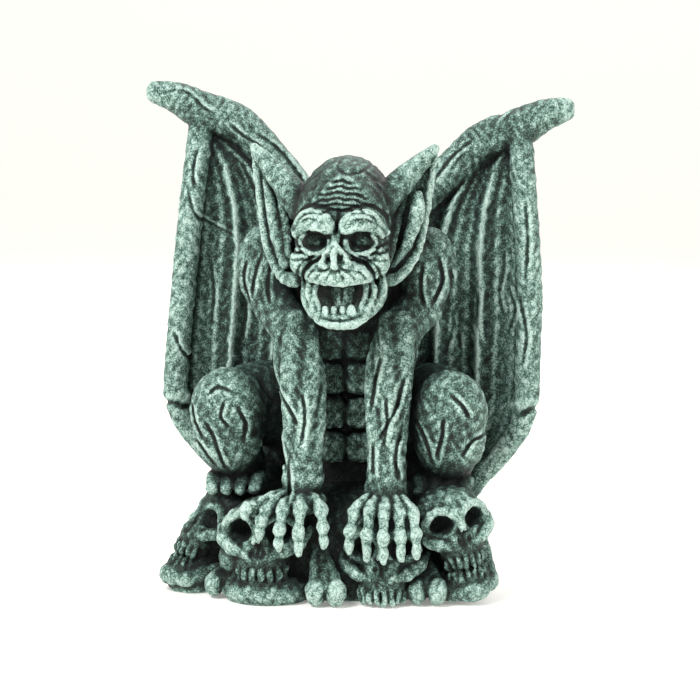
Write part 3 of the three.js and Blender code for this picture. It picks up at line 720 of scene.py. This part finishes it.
def add_head(clay):
    """The head: a lofted skull, then brows, eyes, nose, lip, cheeks and an open jaw, each laid on
    and melted in.
    """
    head = clay.part((-72, -102, 154), (72, 12, 278))
    x, y, z = head.axes()
    rows = smooth_path([[0, 0, r[0], *r[1:]] for r in HEAD_RINGS], 120)[::-1]
    width, front, depth = (np.interp(z, rows[:, 2], rows[:, i]) for i in (3, 4, 5))
    half = depth / 2
    n = (np.abs((x - 1) / width) ** 2.5 + np.abs((y - front - half) / half) ** 2.5) ** 0.4
    level = (n - 1).astype(np.float32)
    steep = np.sqrt(sum(g**2 for g in np.gradient(level, head.cell)))
    head.field = np.clip(level / np.maximum(steep, 0.012), -FAR, FAR)
    head.field = np.maximum(head.field, np.maximum(z - 243, 164 - z))
    head.egg((1.8, -33, 227), (27.5, 42, 32.5), reach=4)

    def lay(reach, rows, count=10):
        """Lays a rod on."""
        rows = np.array(rows, float)
        piece = head.part(rows[:, :3].min(0) - 16, rows[:, :3].max(0) + 16)
        piece.tube(rows, count)
        head.join(piece, reach)

    def press(reach, centre, radii):
        """Lays an egg on."""
        head.join(head.part(np.array(centre) - 30, np.array(centre) + 30).egg(centre, radii), reach)

    def dig(reach, centre, radii, turn=(0, 0, 0)):
        """Takes an egg away."""
        head.cut(
            head.part(np.array(centre) - 30, np.array(centre) + 30).egg(centre, radii, turn), reach,
        )

    for s in SIDES:
        at = lambda rows: [[FACE_X + s * x, y, z, r] for x, y, z, r in rows]
        lay(
            2,
            at(
                [
                    [4.6, -80, 221.5, 4.6], [9, -81, 224.5, 5.6], [15, -79.5, 226.4, 5.8],
                    [21.5, -74, 224, 5], [25.4, -67, 218, 3.6],
                ]
            ),
            14,
        )
        lay(
            1.5,
            at(
                [
                    [5.6, -83, 219.6, 3.2], [11, -84, 221.2, 3.4], [18, -80, 221.4, 3.2],
                    [24.5, -72, 216.5, 2.6],
                ]
            ),
            12,
        )
        press(3, (FACE_X + 21 * s, -69, 200), (8, 9, 9))
        dig(1, (FACE_X + 13.2 * s, -84, 212.8), (8.2, 15, 6.2))
        press(0.5, (FACE_X + 12.8 * s, -69.5, 213.2), (7, 6, 6))
        ring = [
            [
                13.2 + 8.6 * np.cos(t), -80.5 + 6 * max(np.cos(t), 0) ** 2, 212 + 6.6 * np.sin(t), 1.5,
            ] for t in np.linspace(-3.3, 0.7, 14)
        ]
        lay(0.6, at(ring), 24)
        outer = [
            [
                13.4 + 11.4 * np.cos(t), -79.5 + 8 * max(np.cos(t), 0) ** 2, 211.6 + 9.4 * np.sin(t),
                1.3,
            ] for t in np.linspace(-2.7, -0.1, 10)
        ]
        lay(0.6, at(outer), 18)
    lay(
        2, [
            [FACE_X - 0.6, -79, 219, 2.6], [FACE_X - 0.8, -84, 212, 2.4], [FACE_X - 0.8, -88, 206, 2.4],
        ],
    )
    lay(
        0.8,
        [[FACE_X - 0.8, -89, 208, 2], [FACE_X - 0.6, -91, 203, 2.3], [FACE_X - 0.4, -91, 199.4, 2.6]],
    )
    for s in SIDES:
        c = FACE_X - 0.7
        lay(
            0.7,
            [
                [c + 0.8 * s, -87, 211, 1.6], [c + 4.4 * s, -87.5, 206.5, 1.8],
                [c + 7.4 * s, -86.5, 201, 2.1], [c + 5.4 * s, -88, 198.6, 1.6],
            ],
            14,
        )
        dig(0.4, (c + 3.7 * s, -92, 203), (1.9, 7, 4.2), (0, 20 * s, 0))
    dig(1.5, (3.6, -80, 180.5), (16.4, 17, 11))
    lay(
        1,
        [
            [-15.6, -74, 193, 2.6], [-9, -83, 193.6, 4], [3.2, -87.5, 193.4, 4.6],
            [15.4, -83, 193.6, 4], [22, -74, 193, 2.6],
        ],
        16,
    )
    lay(
        1.2,
        [
            [-16.4, -75, 191.6, 1.8], [-9, -84, 190.8, 2.1], [3.2, -88.5, 189.8, 2.3],
            [15.4, -84, 190.8, 2.1], [22.8, -75, 191.6, 1.8],
        ],
        16,
    )
    lay(2, [[-9, -80, 197.5, 4], [3.2, -85, 197.5, 4.4], [15.4, -80, 197.5, 4]])
    lay(1, [[4.6, -64, 192, 8.6], [4.4, -70, 184, 7.4], [4.2, -75, 177.5, 4.6]])
    lay(
        1.5,
        [
            [-16.6, -60, 190, 4.4], [-16.8, -67, 180, 4.2], [-10, -78, 171, 4.2],
            [3.8, -83.5, 168.4, 4.4], [15, -79, 170.6, 4.6], [23.4, -68, 179, 5], [23.6, -60, 188, 5.4],
        ],
        24,
    )
    lay(
        1,
        [
            [-9, -81, 167.4, 2.2], [-2, -86, 166, 2.6], [5, -87.5, 165.6, 2.8], [12, -85.5, 166.4, 2.6],
            [17.5, -81, 168.4, 2.2],
        ],
        14,
    )
    for rows in (
        [[-14.5, -74, 191, 1.8], [-15, -76, 182, 2], [-11.5, -81, 173, 1.8]],
        [[-10.6, -75, 190, 1.5], [-11.4, -77, 182, 1.7], [-8.6, -81, 174, 1.5]],
        [[17.6, -75, 190, 1.6], [18, -77, 182, 1.7], [15.5, -81, 174.4, 1.6]],
        [[21.4, -73, 191, 1.8], [22, -75, 182, 2], [18.8, -80, 174, 1.9]],
        [[26, -68, 192, 2], [27, -68, 184, 2.4], [23.4, -74, 175, 2]],
    ):
        lay(0.8, rows)
    for px, r in ((-4.2, 2.3), (0.7, 2), (5.5, 2.1), (10.5, 2.9)):
        press(0.4, (px, -84.5, 173.2), (r, r, r + 1))
    for s in SIDES:
        add_ear(head, s)
    clay.join(head, 3)


# ---------------------------------------------------------------- carving the surface

FACE_DEPTH = (-100, -52)


def carve_face(clay):
    """Wrinkles, creases and folds of the face as scored lines, read from the front as [x, z]."""
    for i, (z, a, b) in enumerate(
        (
            (246, -2, 9), (243, -5, 13), (239.8, -9, 17), (236.6, -13, 20), (233.4, -14, 21),
            (230.4, -7, 11),
        )
    ):
        x = np.linspace(a, b, 8)
        wave = 0.55 * np.sin(0.62 * x + 0.5 * i) - 0.014 * (x - 2) ** 2
        clay.score(np.column_stack([x, z + wave]), 0.85, 1.7, FACE_DEPTH)
    clay.score(
        [(FACE_X, 231), (FACE_X + 0.2, 226), (FACE_X - 0.4, 220), (FACE_X - 0.6, 216)], 1.0, 2.4,
        FACE_DEPTH,
    )
    for s in SIDES:
        mirror = lambda rows: [(FACE_X + s * x, z) for x, z in rows]
        clay.score(
            mirror([(2, 230), (7, 231), (14, 232.6), (21, 230.6), (26, 224.6), (28, 219)]), 1.0, 1.7,
            FACE_DEPTH,
        )
        clay.score(mirror([(8, 228.4), (14, 229), (20, 227), (23.6, 223.4)]), 0.8, 1.3, FACE_DEPTH)
        clay.score(mirror([(11, 225.4), (16, 226), (21, 223.6)]), 0.7, 1.1, FACE_DEPTH)
        clay.score(mirror([(20, 209.4), (24, 209.4), (28.6, 211.6)]), 0.75, 1.3, FACE_DEPTH)
        clay.score(mirror([(20.4, 206.2), (24, 205.4), (28.6, 206.6)]), 0.75, 1.3, FACE_DEPTH)
        clay.score(mirror([(19.6, 203), (23.6, 201.2), (27.6, 201.8)]), 0.7, 1.0, FACE_DEPTH)
        clay.score(
            mirror([(8, 204.4), (12, 201.6), (17, 199), (20.4, 194), (20.8, 188)]), 1.0, 2.2,
            FACE_DEPTH,
        )
        clay.score(
            mirror([(10, 206.6), (15, 203.4), (20, 200.6), (23.6, 195), (24.2, 188)]), 0.8, 1.2,
            FACE_DEPTH,
        )
        clay.score(mirror([(2.6, 198.6), (6.4, 196.6), (11.5, 196.4)]), 0.7, 1.0, FACE_DEPTH)
        clay.score(mirror([(1.6, 197.4), (3.8, 194), (5.2, 191.4)]), 0.6, 0.9, FACE_DEPTH)
        clay.score(mirror([(7.6, 195.4), (10.2, 193), (11.6, 190.8)]), 0.6, 0.8, FACE_DEPTH)
        clay.score(mirror([(12, 196.6), (15, 194.6), (17, 192)]), 0.6, 0.8, FACE_DEPTH)
    clay.score([(4.4, 187), (4.2, 182), (4.2, 177)], 0.9, 1.2, FACE_DEPTH)
    clay.score([(4, 170), (4.6, 166.5), (4.2, 163.5)], 0.7, 0.9, FACE_DEPTH)
    clay.score([(-9, 170.4), (-3, 168.6), (4, 168), (11, 169), (17.5, 172)], 0.6, 0.9, FACE_DEPTH)
    clay.score([(0, 258), (-0.8, 253), (5, 250), (13, 251), (17.5, 254.6)], 0.6, 0.9, (-80, -20))
    clay.score([(14, 252), (19, 247), (24, 240)], 0.6, 0.7, (-80, -20))


BODY_CRACKS = {
    (-90, -20): [
        [(-80, 104), (-75, 95), (-72, 86), (-69, 76)], [(-89, 113), (-87, 103), (-82, 94)],
        [(-68, 116), (-70, 107), (-66, 102)], [(-92, 88), (-86, 91), (-80, 84), (-75, 77)],
        [(-60, 112), (-56, 102), (-58, 92)], [(-78, 120), (-72, 124), (-64, 122)],
        [(44, 106), (50, 95), (54, 82)], [(61, 108), (60, 97), (57, 86)],
        [(84, 97), (77, 94), (72, 86)], [(66, 121), (72, 116), (76, 108)],
        [(-44, 140), (-38, 126), (-30, 115), (-23, 104)], [(-37, 98), (-34, 89), (-30, 78)],
        [(-21, 122), (-19, 108), (-21, 94)], [(-29, 84), (-27.5, 72), (-27.5, 60)],
        [(24, 142), (21, 128), (19, 113)], [(38, 131), (33, 113), (24, 96)], [(21, 94), (21, 78)],
        [(36, 100), (34, 86), (36, 74)], [(28, 120), (29, 106), (27, 94)],
    ],
    (-40, 8): [
        [(-50, 200), (-54, 188), (-56, 176)], [(-60, 196), (-62, 184), (-58, 172)],
        [(-44, 196), (-46, 182), (-44, 172)], [(55, 199), (57, 186), (52, 172)],
        [(46, 196), (45, 182), (47, 172)], [(61, 192), (62, 180), (57, 168)],
    ],
    (6, 64): [
        [(-104, 236), (-99, 220), (-90, 213), (-76, 206)], [(-112, 150), (-107, 138), (-103, 132)],
        [(-92, 190), (-90, 170), (-92, 152)], [(-98, 262), (-101, 248), (-100, 236)],
        [(-66, 232), (-60, 216), (-56, 200)], [(-72, 176), (-70, 160), (-72, 144)],
        [(-122, 294), (-108, 296), (-94, 285), (-88, 282)],
        [(-66, 272), (-52, 262), (-40, 249), (-32, 238)], [(-80, 276), (-70, 268), (-60, 262)],
        [(90, 202), (89.6, 186), (87, 172), (91, 158)], [(93, 176), (97, 164), (94, 150)],
        [(59, 160), (58, 148), (54, 137)], [(62, 148), (63, 138)], [(76, 180), (74, 160), (76, 140)],
        [(104, 292), (92, 286), (84, 278)], [(70, 266), (58, 256), (46, 240)],
        [(103, 230), (105, 206), (104, 184)], [(101, 170), (105, 150), (103, 132)],
    ],
}


def carve_body(clay):
    """Cracks like those in old wood on the wings, shoulders, arms and knees, and a low lumpiness all
    over.

    The lumps are a product of three sine waves whose phases sway with one another, 0.3 mm high.
    """
    for depths, lines in BODY_CRACKS.items():
        for line in lines:
            clay.score(line, 1.1, 1.2 if depths[0] > 0 else 2.0, depths)
            clay.score([(x + 2.4, z) for x, z in line], 1.3, -0.7, depths)
    clay.score([(-103, 101), (-112, 105), (-120, 105)], 2.4, 2.6, (4, 40))
    clay.score([(101, 101), (110, 105), (118, 105)], 2.4, 2.6, (4, 40))
    x, y, z = clay.axes()
    a = np.sin(0.85 * x + 1.9 * np.sin(0.21 * z) + 1.2 * np.sin(0.33 * y))
    b = np.sin(0.55 * z + 1.7 * np.sin(0.26 * x))
    c = np.sin(0.75 * y + 1.5 * np.sin(0.23 * z))
    clay.field += 0.32 * a * b + 0.25 * b * c


# ---------------------------------------------------------------- from clay to a skin


def gaussian(field, sigma):
    """A blur along each axis in turn, with weights exp(-n^2 / 2 sigma^2)."""
    n = int(np.ceil(2.5 * sigma))
    weights = np.exp(-np.arange(-n, n + 1) ** 2 / (2 * sigma**2)).astype(np.float32)
    weights /= weights.sum()
    for axis in range(3):
        padded = np.pad(field, [(n, n) if i == axis else (0, 0) for i in range(3)], "edge")
        size = field.shape[axis]
        shifts = [
            tuple(
                slice(k, k + size) if i == axis else slice(None) for i in range(3)
            ) for k in range(2 * n + 1)
        ]
        field = sum(w * padded[shift] for w, shift in zip(weights, shifts))
    return field


def sample(grid, places):
    """A grid's values at places given in cells, by the eight nearest cells' weights."""
    i = np.clip(np.floor(places).astype(int), 0, np.array(grid.shape) - 2)
    f = (places - i).astype(np.float32)
    out = 0
    for dx in (0, 1):
        for dy in (0, 1):
            for dz in (0, 1):
                w = np.abs(1 - dx - f[:, 0]) * np.abs(1 - dy - f[:, 1]) * np.abs(1 - dz - f[:, 2])
                out = out + w * grid[i[:, 0] + dx, i[:, 1] + dy, i[:, 2] + dz]
    return out


def largest_shell(points, quads):
    """Keeps the biggest connected shell: each point takes the lowest number among its neighbours
    until none changes.
    """
    label = np.arange(len(points))
    while True:
        low = label[quads].min(1)
        new = label.copy()
        for k in range(4):
            np.minimum.at(new, quads[:, k], low)
        new = new[new]
        if np.array_equal(new, label):
            break
        label = new
    names, counts = np.unique(label, return_counts=True)
    keep = label == names[counts.argmax()]
    number = np.cumsum(keep) - 1
    quads = quads[keep[quads[:, 0]]]
    return points[keep], number[quads]


def skin_of(clay, name):
    """The clay's zero surface as a mesh of four-sided faces, in metres."""
    band = openvdb.FloatGrid(3.0)
    band.copyFromArray(np.clip(clay.field, -3, 3))
    points, _, quads = band.convertToPolygons(isovalue=0.0, adaptivity=0.0)
    points, quads = largest_shell(points, quads.astype(int))
    points = points * clay.cell + clay.low
    points[:, 2] = np.where(points[:, 2] < SNAP_TO_FLOOR, 0, points[:, 2])
    mesh = bpy.data.meshes.new(name)
    mesh.vertices.add(len(points))
    mesh.vertices.foreach_set("co", (points / 1000).astype(np.float32).ravel())
    mesh.loops.add(4 * len(quads))
    mesh.loops.foreach_set("vertex_index", quads.ravel().astype(np.int32))
    mesh.polygons.add(len(quads))
    mesh.polygons.foreach_set("loop_start", np.arange(0, 4 * len(quads), 4, dtype=np.int32))
    mesh.update(calc_edges=True)
    mesh.validate()
    return mesh


def thinned(mesh, limit):
    """The mesh with its flattest edges collapsed until fewer triangles than the limit are left."""
    triangles = 2 * len(mesh.polygons)
    if triangles <= limit:
        return mesh
    thing = bpy.data.objects.new("thinning", mesh)
    bpy.context.scene.collection.objects.link(thing)
    modifier = thing.modifiers.new("collapse", "DECIMATE")
    modifier.ratio = limit / triangles
    evaluated = thing.evaluated_get(bpy.context.evaluated_depsgraph_get())
    out = bpy.data.meshes.new_from_object(evaluated)
    bpy.data.objects.remove(thing)
    return out


def store(mesh, name, values):
    """Puts one number on each vertex for the material to read."""
    mesh.attributes.new(name, "FLOAT", "POINT").data.foreach_set(
        "value", np.asarray(values, np.float32),
    )


def measure_relief(mesh, clay):
    """Stores how proud or hollow each vertex lies, at a fine, a broad and a large scale.

    A blurred field is positive at the surface where more air than stone lies around, so on raised
    parts, and negative in hollows.
    """
    points = np.empty(3 * len(mesh.vertices), np.float32)
    mesh.vertices.foreach_get("co", points)
    places = (points.reshape(-1, 3) * 1000 - clay.low) / clay.cell
    clipped = np.clip(clay.field, -4, 4)
    fine = gaussian(clipped, 1.1 / clay.cell)
    store(mesh, "fine", sample(fine, places) - sample(clay.field, places))
    # The broad value later darkens partly as the black stain and partly as painted shade; the
    # large-scale value darkens as painted shade in the hollows between parts.
    for name, step, sigma, limit in (("broad", 3, 5.0, 12), ("deep_shade", 5, 13.0, 30)):
        coarse = np.clip(clay.field, -limit, limit)[::step, ::step, ::step]
        store(mesh, name, sample(gaussian(coarse, sigma / (step * clay.cell)), places / step))


# ---------------------------------------------------------------- finish


class Paint:
    """A material's node tree with short ways to add nodes and join them."""

    def __init__(self, name):
        self.material = bpy.data.materials.new(name)
        self.material.use_nodes = True
        self.tree = self.material.node_tree
        self.surface = self.tree.nodes["Principled BSDF"]

    def node(self, kind, sockets=None, **settings):
        """A node with its settings; each named socket takes a constant or another node's output."""
        made = self.tree.nodes.new(kind)
        for key, value in settings.items():
            setattr(made, key, value)
        for key, value in (sockets or {}).items():
            if isinstance(value, bpy.types.NodeSocket):
                self.tree.links.new(value, made.inputs[key])
            else:
                made.inputs[key].default_value = value
        return made

    def attribute(self, name):
        """A number stored on the vertices."""
        return self.node("ShaderNodeAttribute", attribute_name=name).outputs["Fac"]

    def math(self, operation, a, b=0.0):
        """One sum of two numbers or outputs."""
        return self.node("ShaderNodeMath", {0: a, 1: b}, operation=operation).outputs[0]

    def spread(self, value, low, high, bottom=0.0, top=1.0):
        """Carries a value from one range to another and holds it there."""
        sockets = {"Value": value, "From Min": low, "From Max": high, "To Min": bottom, "To Max": top}
        return self.node("ShaderNodeMapRange", sockets).outputs["Result"]

    def ramp(self, value, stops):
        """A colour for each value, in even blends between stops (place, colour)."""
        made = self.node("ShaderNodeValToRGB", {"Fac": value})
        band = made.color_ramp
        while len(band.elements) < len(stops):
            band.elements.new(1.0)
        for element, (place, colour) in zip(band.elements, stops):
            element.position = place
            element.color = (*colour, 1)
        return made.outputs["Color"]


def stone_finish():
    """Cast stone that was stained nearly black, painted verdigris and dry-brushed with pale mint.

    The mint takes the raised parts and the edges and the black stain stays in the hollows; the wider
    hollows between parts are darkened further with painted shade, and a fine leathery grain breaks all
    of it up.
    """
    paint = Paint("stone")
    place = paint.node("ShaderNodeTexCoord").outputs["Object"]

    def worms(scale, width, shift):
        """Thin crooked lines, 0 on the line and 1 away from it: the places where a noise crosses its
        middle.
        """
        moved = paint.node(
            "ShaderNodeVectorMath", {0: place, 1: (shift, shift, shift)}, operation="ADD",
        ).outputs[0]
        noise = paint.node(
            "ShaderNodeTexNoise", {"Vector": moved, "Scale": scale, "Detail": 2.0},
        ).outputs["Fac"]
        return paint.spread(paint.math("ABSOLUTE", paint.math("SUBTRACT", noise, 0.5)), 0.0, width)

    nicks = worms(430.0, 0.075, 0.0)
    threads = worms(560.0, 0.06, 3.0)
    speck = paint.node(
        "ShaderNodeTexNoise", {"Vector": place, "Scale": 1100.0, "Detail": 2.0},
    ).outputs["Fac"]
    patch = paint.node(
        "ShaderNodeTexNoise", {"Vector": place, "Scale": 42.0, "Detail": 3.0},
    ).outputs["Fac"]
    fine = paint.spread(paint.attribute("fine"), -0.35, 0.35, -1.0, 1.0)
    # Broad hollows: partly the black stain, partly painted shade between parts. Large hollows (next
    # line): painted shade where the figure's parts shade each other.
    broad = paint.spread(paint.attribute("broad"), -3.0, 3.0, -1.0, 1.0)
    deep_shade = paint.spread(paint.attribute("deep_shade"), -9.0, 7.0, -1.0, 1.0)
    # This value sums the pale mint on raised parts, the black stain in small hollows, the painted shade
    # of the wider hollows, then the grain.
    brush_and_shade = paint.math("MULTIPLY_ADD", fine, 0.34)
    brush_and_shade.node.inputs[2].default_value = 0.16
    for value, weight in ((broad, 0.22), (deep_shade, 0.3)):
        brush_and_shade = paint.math("ADD", brush_and_shade, paint.math("MULTIPLY", value, weight))
    for value, middle, weight in (
        (nicks, 0.75, 0.3), (threads, 0.8, -0.22), (speck, 0.5, 0.5), (patch, 0.5, 0.35),
    ):
        shifted = paint.math("MULTIPLY", paint.math("SUBTRACT", value, middle), weight)
        brush_and_shade = paint.math("ADD", brush_and_shade, shifted)
    # Dark end of the ramp: black stain in the small hollows and painted shade in the wider ones; pale
    # end: the mint on raised parts and edges.
    colour = paint.ramp(
        brush_and_shade,
        [
            (0.05, (0.004, 0.007, 0.006)),
            (0.24, (0.010, 0.020, 0.016)),
            (0.42, (0.030, 0.062, 0.049)),
            (0.58, (0.085, 0.165, 0.135)),
            (0.76, (0.230, 0.370, 0.320)),
            (1.00, (0.520, 0.690, 0.620)),
        ],
    )
    paint.tree.links.new(colour, paint.surface.inputs["Base Color"])
    rough = paint.spread(brush_and_shade, 0.1, 0.8, 0.5, 0.78)
    paint.tree.links.new(rough, paint.surface.inputs["Roughness"])
    paint.surface.inputs["Specular IOR Level"].default_value = 0.4
    height = paint.math("SUBTRACT", nicks, paint.math("MULTIPLY", threads, 0.6))
    height = paint.math("ADD", height, paint.math("MULTIPLY", speck, 0.6))
    bump = paint.node("ShaderNodeBump", {"Strength": 0.75, "Distance": 0.0006, "Height": height})
    paint.tree.links.new(bump.outputs["Normal"], paint.surface.inputs["Normal"])
    return paint.material


# ---------------------------------------------------------------- the casting

clay = whole_clay()
add_torso(clay)
for side in SIDES:
    add_wing(clay, side)
    add_leg(clay, side)
    add_arm(clay, side)
add_mound(clay)
for side in SIDES:
    add_hand(clay, side)
add_head(clay)
carve_face(clay)
carve_body(clay)
rows = clay.axes()
clay.field = np.maximum(clay.field, -rows[2])
for row, low, high in zip(rows, CASE_LOW, CASE_HIGH):
    clay.field = np.maximum(clay.field, np.maximum(low - row, row - high))

skin = thinned(skin_of(clay, "gargoyle casting"), TRIANGLE_LIMIT)
measure_relief(skin, clay)
skin.shade_smooth()
casting = bpy.data.objects.new("gargoyle_casting", skin)
bpy.context.scene.collection.objects.link(casting)
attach(casting, "root")
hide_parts("gargoyle")

skin.materials.clear()
skin.materials.append(stone_finish())
